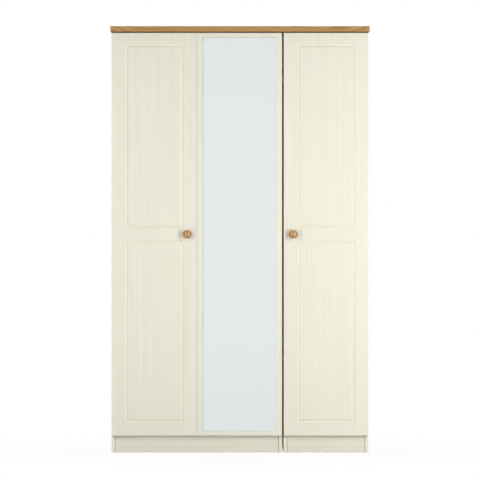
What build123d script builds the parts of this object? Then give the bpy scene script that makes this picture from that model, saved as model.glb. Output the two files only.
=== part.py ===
from build123d import *

import os
from collections import namedtuple
from math import hypot

# Three-door wardrobe: a double and a single unit side by side under one oak top.
# Millimetres. X runs left to right, Y from the doors to the wall, Z up from the floor.
# The origin is on the floor, midway across the top and midway between knob tip and back edge.

# Units
DOUBLE_WIDTH = 731.0
SINGLE_WIDTH = 364.0
UNIT_GAP = 5.0
CARCASS_HEIGHT = 1798.0
CARCASS_DEPTH = 500.0
BOARD = 15.0
BOARD_EASE = 0.6
PLINTH_HEIGHT = 70.0
PLINTH_RECESS = 5.0
HAT_SPACE = 282.0
SHELF_SETBACK = 25.0
BACK_THICKNESS = 3.0
BACK_INSET = 10.0
BACK_GROOVE_DEPTH = 6.0
BACK_CLEARANCE = 0.3

# Oak top
TOP_THICKNESS = 27.0
TOP_END_OVERHANG = 5.0
TOP_FRONT_OVERHANG = 9.0
TOP_LOWER_RADIUS = 8.0
TOP_UPPER_RADIUS = 1.5
TOP_CORNER_RADIUS = 3.0

# Doors
DOOR_THICKNESS = 18.0
DOOR_REVEAL = 1.25
DOOR_MEETING_GAP = 0.7
DOOR_TOP_GAP = 2.0
DOOR_BOTTOM_GAP = 3.5
DOOR_EDGE_RADIUS = 0.7
STILE = 56.5
TOP_RAIL = 48.0
BOTTOM_RAIL = 55.5
MID_RAIL = 53.2
MID_RAIL_RISE = 861.4
GROOVE_WIDTH = 13.0
GROOVE_DEPTH = 3.8
GROOVE_WALL_DEPTH = 3.2
GROOVE_FLOOR = 3.2
GROOVE_INNER_RADIUS = 0.8

# Knobs
KNOB_RIM_RADIUS = 20.0  # before the rim is rounded
KNOB_PROJECTION = 36.0
KNOB_BRIM = 24.5
KNOB_BRIM_ROUND = 1.6
KNOB_NECK_RADIUS = 8.0
KNOB_NECK_REACH = 10.0
KNOB_FOOT_RADIUS = 11.5
KNOB_FOOT_HEIGHT = 3.0
KNOB_EDGE_INSET = 41.0
KNOB_BOLT_RADIUS = 2.0
KNOB_BOLT_BITE = 14.0
KNOB_BOLT_HEAD_RADIUS = 4.5
KNOB_BOLT_HEAD_HEIGHT = 2.8

# Mirror
MIRROR_SIDE_MARGIN = 26.5
MIRROR_END_MARGIN = 20.0
MIRROR_THICKNESS = 3.0
MIRROR_POLISH = 0.7
TAPE_THICKNESS = 0.8
TAPE_WIDTH = 19.0
TAPE_INSET = 22.0
TAPE_COUNT = 3

# Concealed hinges with one pivot pin
HINGES_PER_DOOR = 4
HINGE_END_DISTANCE = 100.0
CUP_RADIUS = 17.5
CUP_EDGE = 3.0
CUP_SKIN = 5.0
CUP_WALL = 0.8
CUP_FIT = 0.05
CUP_FLANGE = 1.2
CUP_FLANGE_LIP = 1.0
CUP_EAR_OFFSET = 6.0
CUP_EAR_WIDTH = 14.0
CUP_SCREW_SPACING = 48.0
CHEEK_INNER = 4.5
CHEEK_OUTER = 8.5
CHEEK_REACH = 3.2
PIN_RADIUS = 1.2
PIN_CLEARANCE = 0.05
PIVOT_EDGE = 7.5
KNUCKLE_RADIUS = 2.4
KNUCKLE_CLEARANCE = 0.6
FINGER_RELIEF = 0.8
ARM_CLEARANCE = 0.6
ARM_THICKNESS = 4.4
ARM_WIDTH = 8.0
ARM_BEND_RADIUS = 3.6
ARM_FOOT_SETBACK = 9.0
ARM_FOOT_LENGTH = 54.0
ARM_FOOT_WIDTH = 14.0
ARM_FOOT_CORNER = 3.0
ARM_SCREW_SETBACK = 50.0
SWING_CLEARANCE = 0.6
PLATE_WIDTH = 12.0
PLATE_SCREW_SETBACK = 30.0
PLATE_SCREW_SPACING = 32.0
PLATE_WING_WIDTH = 16.0
PLATE_WING_THICKNESS = 2.6

# Hanging rails
RAIL_RADIUS = 12.5
RAIL_WALL = 1.2
RAIL_DROP = 45.0
SOCKET_FLANGE = 3.0
SOCKET_LENGTH = 66.0
SOCKET_WIDTH = 38.0
SOCKET_COLLAR = 11.0
SOCKET_WALL = 2.6
SOCKET_CLEARANCE = 0.2
SOCKET_SCREW_SPACING = 48.0

# Board fastenings
CAM_RADIUS = 7.5
CAM_HEIGHT = 12.0
CAM_FIT = 0.1
CAM_DISTANCE = 34.0
CAM_INSET = 60.0
CAM_SLOT = 7.4
CAM_BOLT_RADIUS = 2.8
CAM_BOLT_BITE = 10.0
CAM_BOLT_NECK_RADIUS = 1.8
CAM_BOLT_NECK = 5.0
CAM_BOLT_HEAD_RADIUS = 3.2
CAM_BOLT_HEAD = 3.0
CAM_BOLT_HOLE_RADIUS = 4.0
DOWEL_RADIUS = 4.0
DOWEL_SIDE_BITE = 10.0
DOWEL_BOARD_BITE = 20.0
DOWEL_CHAMFER = 1.0
HOLE_FIT = 0.1
CONNECTOR_INSET = 80.0
CONNECTOR_RISE = 315.0
CONNECTOR_DROP = 182.0
CONNECTOR_RADIUS = 3.5
CONNECTOR_HEAD_RADIUS = 6.5
CONNECTOR_HEAD = 2.5
CONNECTOR_HEAD_ROUND = 0.8
SPACER_RADIUS = 11.0

# Screws
TOP_SCREW_INSET = 100.0
TOP_SCREW_RADIUS = 2.0
TOP_SCREW_HEAD_RADIUS = 4.2
TOP_SCREW_BITE = 16.0
COUNTERSINK_ANGLE = 90.0
SMALL_SCREW_RADIUS = 1.75
SMALL_SCREW_HEAD_RADIUS = 3.4
SMALL_SCREW_HEAD = 2.0
SMALL_SCREW_BITE = 10.0
PLATE_SCREW_RADIUS = 2.5
PLATE_SCREW_HEAD_RADIUS = 4.6
PLATE_SCREW_HEAD = 2.4
ARM_SCREW_RADIUS = 2.5
ARM_SCREW_HEAD_RADIUS = 4.4
ARM_SCREW_HEAD = 2.8
ARM_SCREW_BITE = 4.0
RECESS_LENGTH = 0.6
RECESS_WIDTH = 0.16
RECESS_DEPTH = 1.2

# Buffers and wall brackets
BUFFER_RADIUS = 4.5
BUFFER_CLEARANCE = 0.4
BUFFER_DOME = 0.8
BUFFER_INSET = 25.0
BRACKET_WIDTH = 24.0
BRACKET_THICKNESS = 2.0
BRACKET_LEG = 38.0
BRACKET_DROP = 34.0
BRACKET_HOLE_RADIUS = 3.0
BRACKET_HOLE_DROP = 22.0
BRACKET_SCREW_SPACING = 14.0

# Hinge positions worked out from the cup, the pin and the swing of the door's corner
CUP_DEPTH = DOOR_THICKNESS - CUP_SKIN
CUP_INNER_RADIUS = CUP_RADIUS - CUP_WALL
CUP_CENTRE = CUP_EDGE + CUP_RADIUS - PIVOT_EDGE
PIVOT_DEPTH = CUP_DEPTH - CUP_WALL - KNUCKLE_CLEARANCE - KNUCKLE_RADIUS
CHEEK_TOP_DEPTH = PIVOT_DEPTH - CHEEK_REACH
DOOR_GAP = hypot(PIVOT_EDGE, PIVOT_DEPTH) - PIVOT_DEPTH + SWING_CLEARANCE
CARCASS_LINE = PIVOT_DEPTH + DOOR_GAP
FLANGE_SWEEP = hypot(PIVOT_EDGE - CUP_EDGE + CUP_FLANGE_LIP, PIVOT_DEPTH + CUP_FLANGE)
ARM_INNER = FLANGE_SWEEP + ARM_CLEARANCE
ARM_OUTER = ARM_INNER + ARM_THICKNESS
SIDE_FACE = BOARD - DOOR_REVEAL - PIVOT_EDGE

# Depths
Y_BACK = (CARCASS_DEPTH + DOOR_GAP + DOOR_THICKNESS + KNOB_PROJECTION) / 2
Y_FRONT = Y_BACK - CARCASS_DEPTH
Y_DOOR_BACK = Y_FRONT - DOOR_GAP
Y_DOOR_FRONT = Y_DOOR_BACK - DOOR_THICKNESS
Y_PIVOT = Y_DOOR_BACK - PIVOT_DEPTH
Y_BACK_PANEL = Y_BACK - BACK_INSET - BACK_THICKNESS
Y_CAM_FRONT = Y_FRONT + CAM_INSET
Y_CAM_REAR = Y_BACK_PANEL - CAM_INSET
Y_PLINTH = Y_FRONT + PLINTH_RECESS + BOARD / 2
Y_REAR_RAIL = Y_BACK_PANEL - BOARD / 2
Y_RAIL = (Y_FRONT + Y_BACK_PANEL) / 2

# Heights
BASE_LOW = PLINTH_HEIGHT
CEILING_LOW = CARCASS_HEIGHT - BOARD
SHELF_LOW = CEILING_LOW - HAT_SPACE - BOARD
RAIL_HEIGHT = SHELF_LOW - RAIL_DROP
CONNECTOR_LOW = BASE_LOW + BOARD + CONNECTOR_RISE
CONNECTOR_HIGH = CEILING_LOW - CONNECTOR_DROP
DOOR_LOW = PLINTH_HEIGHT + DOOR_BOTTOM_GAP
DOOR_HIGH = CARCASS_HEIGHT - DOOR_TOP_GAP
DOOR_HEIGHT = DOOR_HIGH - DOOR_LOW
KNOB_HEIGHT = DOOR_LOW + MID_RAIL_RISE
HINGE_STEP = (DOOR_HEIGHT - 2 * HINGE_END_DISTANCE) / (HINGES_PER_DOOR - 1)
HINGE_HEIGHTS = [DOOR_LOW + HINGE_END_DISTANCE + i * HINGE_STEP for i in range(HINGES_PER_DOOR)]

# Widths
Unit = namedtuple("Unit", "name left right")
X_LEFT = -(DOUBLE_WIDTH + UNIT_GAP + SINGLE_WIDTH) / 2
DOUBLE = Unit("double", X_LEFT, X_LEFT + DOUBLE_WIDTH)
SINGLE = Unit("single", DOUBLE.right + UNIT_GAP, DOUBLE.right + UNIT_GAP + SINGLE_WIDTH)
UNITS = (DOUBLE, SINGLE)
X_MEETING = (DOUBLE.left + DOUBLE.right) / 2

# Doors: their left and right edges, and the side they hang on (+1 left, -1 right)
Door = namedtuple("Door", "name left right hand")
LEFT = Door("left", DOUBLE.left + DOOR_REVEAL, X_MEETING - DOOR_MEETING_GAP / 2, 1)
MIRROR = Door("mirror", X_MEETING + DOOR_MEETING_GAP / 2, DOUBLE.right - DOOR_REVEAL, -1)
RIGHT = Door("right", SINGLE.left + DOOR_REVEAL, SINGLE.right - DOOR_REVEAL, -1)
DOORS = (LEFT, MIRROR, RIGHT)

# Directions
FRONT = (0, -1, 0)
REAR = (0, 1, 0)
DOWN = (0, 0, -1)


def middle(low, high):
    return (low + high) / 2


def facing(points, direction):
    """Planes at the points, each looking out along the direction."""
    across = (0, 1, 0) if direction[0] else (1, 0, 0)
    return [Plane(origin=point, x_dir=across, z_dir=direction) for point in points]


def front_plane(y):
    """The upright plane at depth y that looks out of the front."""
    return Plane.XZ.offset(-y)


def save(piece, name):
    piece.part.label = name
    export_step(piece.part, f"parts/{name}.step")


def save_copies(piece, name, places):
    """One node with a copy of the piece at each place."""
    with BuildPart() as copies:
        with Locations(*places):
            add(piece.part)
    save(copies, name)


# Places that two or more pieces share

def hinge_edge(door):
    return door.left if door.hand > 0 else door.right


def free_edge(door):
    return door.right if door.hand > 0 else door.left


def hinge_places(door):
    """Pivot points of a door, turned over for a door that hangs on its right side."""
    x = hinge_edge(door) + door.hand * PIVOT_EDGE
    turn = 0 if door.hand > 0 else 180
    return [Location((x, Y_PIVOT, z), (0, turn, 0)) for z in HINGE_HEIGHTS]


def cup_screw_points(door):
    x = hinge_edge(door) + door.hand * (CUP_EDGE + CUP_RADIUS + CUP_EAR_OFFSET)
    rises = (-CUP_SCREW_SPACING / 2, CUP_SCREW_SPACING / 2)
    return [(x, Y_DOOR_BACK, z + rise) for z in HINGE_HEIGHTS for rise in rises]


def cam_heights():
    return [low + BOARD / 2 for low in (BASE_LOW, SHELF_LOW, CEILING_LOW)]


def cam_depths():
    return (Y_CAM_FRONT, Y_CAM_REAR)


def inner_faces(unit):
    """The x of each inner side face of a unit, with the way it looks."""
    return ((unit.left + BOARD, 1), (unit.right - BOARD, -1))


def top_screw_points(unit):
    xs = (unit.left + TOP_SCREW_INSET, unit.right - TOP_SCREW_INSET)
    ys = (Y_FRONT + TOP_SCREW_INSET, Y_BACK_PANEL - TOP_SCREW_INSET)
    return [(x, y, CEILING_LOW) for x in xs for y in ys]


def bracket_screw_points(unit):
    y = Y_BACK_PANEL - BRACKET_LEG / 2
    steps = (-BRACKET_SCREW_SPACING / 2, BRACKET_SCREW_SPACING / 2)
    return [(middle(unit.left, unit.right), y + step, CEILING_LOW) for step in steps]


def bracket_hole_point(unit, y):
    return (middle(unit.left, unit.right), y, CEILING_LOW - BRACKET_HOLE_DROP)


def socket_screw_points(x):
    rises = (-SOCKET_SCREW_SPACING / 2, SOCKET_SCREW_SPACING / 2)
    return [(x, Y_RAIL, RAIL_HEIGHT + rise) for rise in rises]


def connector_points(x):
    ys = (Y_FRONT + CONNECTOR_INSET, Y_BACK_PANEL - CONNECTOR_INSET)
    return [(x, y, z) for y in ys for z in (CONNECTOR_LOW, CONNECTOR_HIGH)]


def plate_screw_points(x):
    y = Y_FRONT + PLATE_SCREW_SETBACK
    rises = (-PLATE_SCREW_SPACING / 2, PLATE_SCREW_SPACING / 2)
    return [(x, y, z + rise) for z in HINGE_HEIGHTS for rise in rises]


# Carcass boards

def make_side(unit, label, x_inner, inward, has_hinges, is_joined):
    """A full-height side board, drilled on its inner face."""
    with BuildPart() as side:
        with BuildSketch():
            with Locations((x_inner - inward * BOARD / 2, middle(Y_FRONT, Y_BACK))):
                Rectangle(BOARD, CARCASS_DEPTH)
        extrude(amount=CARCASS_HEIGHT)
        fillet(side.edges().filter_by(Axis.Z).group_by(Axis.Y)[0], BOARD_EASE)
        with BuildSketch():
            with Locations((x_inner, Y_BACK_PANEL + BACK_THICKNESS / 2)):
                Rectangle(2 * BACK_GROOVE_DEPTH, BACK_THICKNESS + 2 * BACK_CLEARANCE)
        extrude(amount=CARCASS_HEIGHT, mode=Mode.SUBTRACT)
        look = (inward, 0, 0)
        cams = [(x_inner, y, z) for y in cam_depths() for z in cam_heights()]
        with Locations(*facing(cams, look)):
            Hole(CAM_BOLT_RADIUS + HOLE_FIT, depth=CAM_BOLT_BITE)
        dowels = [(x_inner, y, PLINTH_HEIGHT / 2) for y in (Y_PLINTH, Y_REAR_RAIL)]
        with Locations(*facing(dowels, look)):
            Hole(DOWEL_RADIUS + HOLE_FIT, depth=DOWEL_SIDE_BITE)
        with Locations(*facing(socket_screw_points(x_inner), look)):
            Hole(SMALL_SCREW_RADIUS + HOLE_FIT, depth=SMALL_SCREW_BITE)
        if has_hinges:
            with Locations(*facing(plate_screw_points(x_inner), look)):
                Hole(PLATE_SCREW_RADIUS + HOLE_FIT, depth=SMALL_SCREW_BITE)
        if is_joined:
            with Locations(*facing(connector_points(x_inner), look)):
                Hole(CONNECTOR_RADIUS + HOLE_FIT, depth=BOARD)
    save(side, f"{unit.name}_{label}_side")


def make_panel(unit, label, low, front, is_ceiling=False):
    """A level board between the sides, bored for cam locks from below."""
    (x_left, _), (x_right, _) = inner_faces(unit)
    cams = [(x, y, low) for x in (x_left + CAM_DISTANCE, x_right - CAM_DISTANCE) for y in cam_depths()]
    with BuildPart() as panel:
        with BuildSketch(Plane.XY.offset(low)):
            with Locations((middle(x_left, x_right), middle(front, Y_BACK_PANEL))):
                Rectangle(x_right - x_left, Y_BACK_PANEL - front)
        extrude(amount=BOARD)
        fillet(panel.edges().filter_by(Axis.X).group_by(Axis.Y)[0], BOARD_EASE)
        with Locations(*facing(cams, DOWN)):
            Hole(CAM_RADIUS + CAM_FIT, depth=CAM_HEIGHT)
        for x, outward in ((x_left, -1), (x_right, 1)):
            ends = [(x, y, low + BOARD / 2) for y in cam_depths()]
            with Locations(*facing(ends, (outward, 0, 0))):
                Hole(CAM_BOLT_HOLE_RADIUS, depth=CAM_DISTANCE)
        if is_ceiling:
            with Locations(*facing(top_screw_points(unit), DOWN)):
                CounterSinkHole(TOP_SCREW_RADIUS + HOLE_FIT, TOP_SCREW_HEAD_RADIUS, BOARD, COUNTERSINK_ANGLE)
            with Locations(*facing(bracket_screw_points(unit), DOWN)):
                Hole(SMALL_SCREW_RADIUS + HOLE_FIT, depth=SMALL_SCREW_BITE)
    save(panel, f"{unit.name}_{label}")


def make_floor_board(unit, label, y):
    """The plinth or the rear rail, which stands on the floor between the sides."""
    (x_left, _), (x_right, _) = inner_faces(unit)
    with BuildPart() as board:
        with BuildSketch():
            with Locations((middle(x_left, x_right), y)):
                Rectangle(x_right - x_left, BOARD)
        extrude(amount=PLINTH_HEIGHT)
        for x, outward in ((x_left, -1), (x_right, 1)):
            with Locations(*facing([(x, y, PLINTH_HEIGHT / 2)], (outward, 0, 0))):
                Hole(DOWEL_RADIUS + HOLE_FIT, depth=DOWEL_BOARD_BITE)
    save(board, f"{unit.name}_{label}")


def make_back(unit):
    """The thin back, held in the grooves of the two sides."""
    (x_left, _), (x_right, _) = inner_faces(unit)
    tongue = BACK_GROOVE_DEPTH - BACK_CLEARANCE
    with BuildPart() as back:
        with BuildSketch(Plane.XY.offset(BASE_LOW)):
            with Locations((middle(x_left, x_right), Y_BACK_PANEL + BACK_THICKNESS / 2)):
                Rectangle(x_right - x_left + 2 * tongue, BACK_THICKNESS)
        extrude(amount=CARCASS_HEIGHT - BASE_LOW)
        with Locations(*facing([bracket_hole_point(unit, Y_BACK_PANEL)], FRONT)):
            Hole(BRACKET_HOLE_RADIUS, depth=BACK_THICKNESS)
    save(back, f"{unit.name}_back")


def make_top():
    """The oak top: rounded under its front and end edges, square at the wall."""
    x_low = DOUBLE.left - TOP_END_OVERHANG
    x_high = SINGLE.right + TOP_END_OVERHANG
    y_low = Y_DOOR_FRONT - TOP_FRONT_OVERHANG
    points = top_screw_points(DOUBLE) + top_screw_points(SINGLE)
    with BuildPart() as top:
        with BuildSketch(Plane.XY.offset(CARCASS_HEIGHT)):
            with Locations((middle(x_low, x_high), middle(y_low, Y_BACK))):
                Rectangle(x_high - x_low, Y_BACK - y_low)
        extrude(amount=TOP_THICKNESS)
        fillet(top.edges().filter_by(Axis.Z).group_by(Axis.Y)[0], TOP_CORNER_RADIUS)
        wall_edges = top.faces().sort_by(Axis.Y)[-1].edges()
        lower = top.faces().sort_by(Axis.Z)[0].edges() - wall_edges
        fillet(lower, TOP_LOWER_RADIUS)
        wall_edges = top.faces().sort_by(Axis.Y)[-1].edges()
        upper = top.faces().sort_by(Axis.Z)[-1].edges() - wall_edges
        fillet(upper, TOP_UPPER_RADIUS)
        with Locations(*facing([(x, y, CARCASS_HEIGHT) for x, y, _ in points], DOWN)):
            Hole(TOP_SCREW_RADIUS + HOLE_FIT, depth=TOP_SCREW_BITE)
    save(top, "oak_top")


# Doors

def door_fields(door):
    """The two routed rectangles of a panelled door, measured at the groove's outer lip."""
    x_low, x_high = door.left + STILE, door.right - STILE
    mid_low, mid_high = KNOB_HEIGHT - MID_RAIL / 2, KNOB_HEIGHT + MID_RAIL / 2
    return ((x_low, x_high, DOOR_LOW + BOTTOM_RAIL, mid_low), (x_low, x_high, mid_high, DOOR_HIGH - TOP_RAIL))


def knob_x(door):
    return free_edge(door) - door.hand * KNOB_EDGE_INSET


def make_door(door, fields, has_knob):
    """A door board with routed panel grooves in front and hinge bores in its back."""
    cup_x = hinge_edge(door) + door.hand * (CUP_EDGE + CUP_RADIUS)
    with BuildPart() as board:
        with BuildSketch(front_plane(Y_DOOR_BACK)):
            with Locations((middle(door.left, door.right), middle(DOOR_LOW, DOOR_HIGH))):
                Rectangle(door.right - door.left, DOOR_HEIGHT)
        extrude(amount=DOOR_THICKNESS)
        fillet(board.faces().sort_by(Axis.Y)[0].edges(), DOOR_EDGE_RADIUS)
        for x_low, x_high, z_low, z_high in fields:
            with BuildSketch(front_plane(Y_DOOR_FRONT), mode=Mode.PRIVATE) as lip:
                with Locations((middle(x_low, x_high), middle(z_low, z_high))):
                    RectangleRounded(x_high - x_low, z_high - z_low, GROOVE_WIDTH + GROOVE_INNER_RADIUS)
            path = lip.sketch.face().outer_wire()
            inward = Vector(FRONT).cross(path % 0)
            with BuildSketch(Plane(origin=path @ 0, x_dir=inward, z_dir=path % 0)):
                with BuildLine():
                    near_foot = ((GROOVE_WIDTH - GROOVE_FLOOR) / 2, -GROOVE_WALL_DEPTH)
                    far_foot = ((GROOVE_WIDTH + GROOVE_FLOOR) / 2, -GROOVE_WALL_DEPTH)
                    far_lip = (GROOVE_WIDTH, 0)
                    Polyline((0, 0), near_foot)
                    ThreePointArc(near_foot, (GROOVE_WIDTH / 2, -GROOVE_DEPTH), far_foot)
                    Polyline(far_foot, far_lip, (GROOVE_WIDTH, GROOVE_DEPTH), (0, GROOVE_DEPTH), (0, 0))
                make_face()
            sweep(path=path, mode=Mode.SUBTRACT)
        with Locations(*facing([(cup_x, Y_DOOR_BACK, z) for z in HINGE_HEIGHTS], REAR)):
            Hole(CUP_RADIUS + CUP_FIT, depth=CUP_DEPTH)
        with Locations(*facing(cup_screw_points(door), REAR)):
            Hole(SMALL_SCREW_RADIUS + HOLE_FIT, depth=SMALL_SCREW_BITE)
        if has_knob:
            with Locations(*facing([(knob_x(door), Y_DOOR_BACK, KNOB_HEIGHT)], REAR)):
                Hole(KNOB_BOLT_RADIUS + HOLE_FIT, depth=DOOR_THICKNESS)
    save(board, f"{door.name}_door")


def make_knob(door):
    """A turned knob: a foot on the door, a waist and a domed head."""
    seat = (knob_x(door), Y_DOOR_FRONT, KNOB_HEIGHT)
    half_plane = Plane(origin=seat, x_dir=(1, 0, 0), z_dir=DOWN)
    with BuildPart() as knob:
        with BuildSketch(half_plane) as half:
            with BuildLine():
                foot_top = (KNOB_FOOT_RADIUS, KNOB_FOOT_HEIGHT)
                neck = (KNOB_NECK_RADIUS, KNOB_NECK_REACH)
                brim = (KNOB_RIM_RADIUS, KNOB_BRIM)
                tip = (0, KNOB_PROJECTION)
                Polyline(tip, (0, 0), (KNOB_FOOT_RADIUS, 0), foot_top)
                ThreePointArc(foot_top, neck, brim)
                TangentArc(tip, brim, tangent=(1, 0))
            make_face()
            fillet(half.vertices().sort_by(Axis.X)[-1], KNOB_BRIM_ROUND)
        revolve(axis=Axis(seat, FRONT))
        with Locations(*facing([seat], REAR)):
            Hole(KNOB_BOLT_RADIUS + HOLE_FIT, depth=KNOB_BOLT_BITE)
    save(knob, f"{door.name}_knob")


def make_mirror(door):
    """A polished mirror glass and the tape strips that hold it on the door."""
    x_low, x_high = door.left + MIRROR_SIDE_MARGIN, door.right - MIRROR_SIDE_MARGIN
    z_low, z_high = DOOR_LOW + MIRROR_END_MARGIN, DOOR_HIGH - MIRROR_END_MARGIN
    centre = (middle(x_low, x_high), middle(z_low, z_high))
    with BuildPart() as glass:
        with BuildSketch(front_plane(Y_DOOR_FRONT - TAPE_THICKNESS)):
            with Locations(centre):
                Rectangle(x_high - x_low, z_high - z_low)
        extrude(amount=MIRROR_THICKNESS)
        chamfer(glass.faces().sort_by(Axis.Y)[0].edges(), MIRROR_POLISH)
    save(glass, "mirror_glass")
    tape_step = (x_high - x_low - 2 * TAPE_INSET - TAPE_WIDTH) / (TAPE_COUNT - 1)
    with BuildPart() as tape:
        with BuildSketch(front_plane(Y_DOOR_FRONT)):
            with Locations(centre):
                with GridLocations(tape_step, 0, TAPE_COUNT, 1):
                    Rectangle(TAPE_WIDTH, z_high - z_low - 2 * TAPE_INSET)
        extrude(amount=TAPE_THICKNESS)
    save(tape, "mirror_tape")


# Screws, made with the seat at the origin and the shank pointing down

def make_pan_screw(radius, head_radius, head, length):
    """A screw with a domed head and a cross recess."""
    with BuildPart() as screw:
        with BuildSketch():
            Circle(head_radius)
        extrude(amount=head)
        fillet(screw.faces().sort_by(Axis.Z)[-1].edges(), head / 2)
        with BuildSketch():
            Circle(radius)
        extrude(amount=-length)
        with BuildSketch(Plane.XY.offset(head)):
            Rectangle(2 * RECESS_LENGTH * head_radius, 2 * RECESS_WIDTH * head_radius)
            Rectangle(2 * RECESS_WIDTH * head_radius, 2 * RECESS_LENGTH * head_radius)
        extrude(amount=-RECESS_DEPTH, mode=Mode.SUBTRACT)
    return screw


def make_flush_screw(radius, head_radius, length):
    """A countersunk screw whose head ends level with the face."""
    with BuildPart() as screw:
        with BuildSketch(Plane.XZ):
            with BuildLine():
                Polyline(
                    (0, 0),
                    (head_radius, 0),
                    (radius, radius - head_radius),
                    (radius, -length),
                    (0, -length),
                    close=True,
                )
            make_face()
        revolve(axis=Axis.Z)
        with BuildSketch():
            Rectangle(2 * RECESS_LENGTH * head_radius, 2 * RECESS_WIDTH * head_radius)
            Rectangle(2 * RECESS_WIDTH * head_radius, 2 * RECESS_LENGTH * head_radius)
        extrude(amount=-RECESS_DEPTH, mode=Mode.SUBTRACT)
    return screw


# Hinge pieces, made about the pivot: X towards the door's free edge, Y into the carcass

def make_hinge_cup():
    """The cup sunk in the door, with an eared flange and two cheeks that hold the pin."""
    mouth = Plane(origin=(CUP_CENTRE, PIVOT_DEPTH, 0), x_dir=(1, 0, 0), z_dir=FRONT)
    cheek_length = CUP_RADIUS - CUP_CENTRE + CHEEK_REACH
    cheek_x = cheek_length / 2 - CUP_RADIUS
    cheek_rise = middle(CHEEK_INNER, CHEEK_OUTER)
    ears = [(CUP_EAR_OFFSET, -CUP_SCREW_SPACING / 2), (CUP_EAR_OFFSET, CUP_SCREW_SPACING / 2)]
    with BuildPart() as cup:
        with BuildSketch(mouth):
            Circle(CUP_RADIUS)
        extrude(amount=CUP_DEPTH)
        with BuildSketch(mouth):
            Circle(CUP_RADIUS + CUP_FLANGE_LIP)
            with Locations((CUP_EAR_OFFSET, 0)):
                SlotCenterToCenter(CUP_SCREW_SPACING, CUP_EAR_WIDTH, rotation=90)
        extrude(amount=-CUP_FLANGE)
        with BuildSketch(mouth.offset(-CUP_FLANGE)):
            Circle(CUP_INNER_RADIUS)
        extrude(amount=CUP_FLANGE + CHEEK_TOP_DEPTH, mode=Mode.SUBTRACT)
        with BuildSketch(mouth.offset(CHEEK_TOP_DEPTH)):
            Circle(CUP_INNER_RADIUS)
            with Locations((cheek_x, -cheek_rise), (cheek_x, cheek_rise)):
                Rectangle(cheek_length, CHEEK_OUTER - CHEEK_INNER, mode=Mode.SUBTRACT)
        extrude(amount=CUP_DEPTH - CUP_WALL - CHEEK_TOP_DEPTH, mode=Mode.SUBTRACT)
        Cylinder(PIN_RADIUS, 2 * CHEEK_OUTER, mode=Mode.SUBTRACT)
        with BuildSketch(mouth):
            with Locations(*ears):
                Circle(SMALL_SCREW_RADIUS + HOLE_FIT)
        extrude(amount=-CUP_FLANGE, mode=Mode.SUBTRACT)
    return cup


def make_hinge_pin():
    with BuildPart() as pin:
        Cylinder(PIN_RADIUS, 2 * CHEEK_OUTER)
    return pin


def make_hinge_arm():
    """The arm: a knuckle on the pin, a gooseneck out of the cup and a foot on the plate."""
    neck_end = CARCASS_LINE + ARM_FOOT_SETBACK + ARM_FOOT_CORNER
    foot_start = CARCASS_LINE + ARM_FOOT_SETBACK
    screw_y = CARCASS_LINE + ARM_SCREW_SETBACK
    with BuildPart() as arm:
        with BuildSketch() as hook:
            with Locations((ARM_OUTER / 2, -FINGER_RELIEF / 2)):
                Rectangle(ARM_OUTER, 2 * KNUCKLE_RADIUS - FINGER_RELIEF)
            with Locations((middle(ARM_INNER, ARM_OUTER), (neck_end - KNUCKLE_RADIUS) / 2)):
                Rectangle(ARM_THICKNESS, neck_end + KNUCKLE_RADIUS)
            fillet(hook.vertices().group_by(Axis.Y)[0].sort_by(Axis.X)[-1], ARM_BEND_RADIUS)
            Circle(KNUCKLE_RADIUS)
        extrude(amount=ARM_WIDTH / 2, both=True)
        with BuildSketch(Plane.YZ.offset(ARM_INNER)):
            with Locations((foot_start + ARM_FOOT_LENGTH / 2, 0)):
                RectangleRounded(ARM_FOOT_LENGTH, ARM_FOOT_WIDTH, ARM_FOOT_CORNER)
        extrude(amount=ARM_THICKNESS)
        Cylinder(PIN_RADIUS + PIN_CLEARANCE, ARM_WIDTH, mode=Mode.SUBTRACT)
        with Locations(*facing([(ARM_OUTER, screw_y, 0)], (1, 0, 0))):
            Hole(ARM_SCREW_RADIUS + HOLE_FIT, depth=ARM_THICKNESS)
    return arm


def make_hinge_plate():
    """The plate between the side board and the arm's foot, with a wing above and below."""
    foot_start = CARCASS_LINE + ARM_FOOT_SETBACK
    screw_y = CARCASS_LINE + ARM_SCREW_SETBACK
    wing_y = CARCASS_LINE + PLATE_SCREW_SETBACK
    wing_top = SIDE_FACE + PLATE_WING_THICKNESS
    wing_screws = [(wing_top, wing_y, rise * PLATE_SCREW_SPACING / 2) for rise in (-1, 1)]
    with BuildPart() as plate:
        with BuildSketch(Plane.YZ.offset(SIDE_FACE)):
            with Locations((foot_start + ARM_FOOT_LENGTH / 2, 0)):
                Rectangle(ARM_FOOT_LENGTH, PLATE_WIDTH)
        extrude(amount=ARM_INNER - SIDE_FACE)
        with BuildSketch(Plane.YZ.offset(SIDE_FACE)):
            with Locations((wing_y, 0)):
                SlotCenterToCenter(PLATE_SCREW_SPACING, PLATE_WING_WIDTH, rotation=90)
        extrude(amount=PLATE_WING_THICKNESS)
        with Locations(*facing([(ARM_INNER, screw_y, 0)], (1, 0, 0))):
            Hole(ARM_SCREW_RADIUS + HOLE_FIT, depth=ARM_SCREW_BITE)
        with Locations(*facing(wing_screws, (1, 0, 0))):
            Hole(PLATE_SCREW_RADIUS + HOLE_FIT, depth=PLATE_WING_THICKNESS)
    return plate


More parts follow.
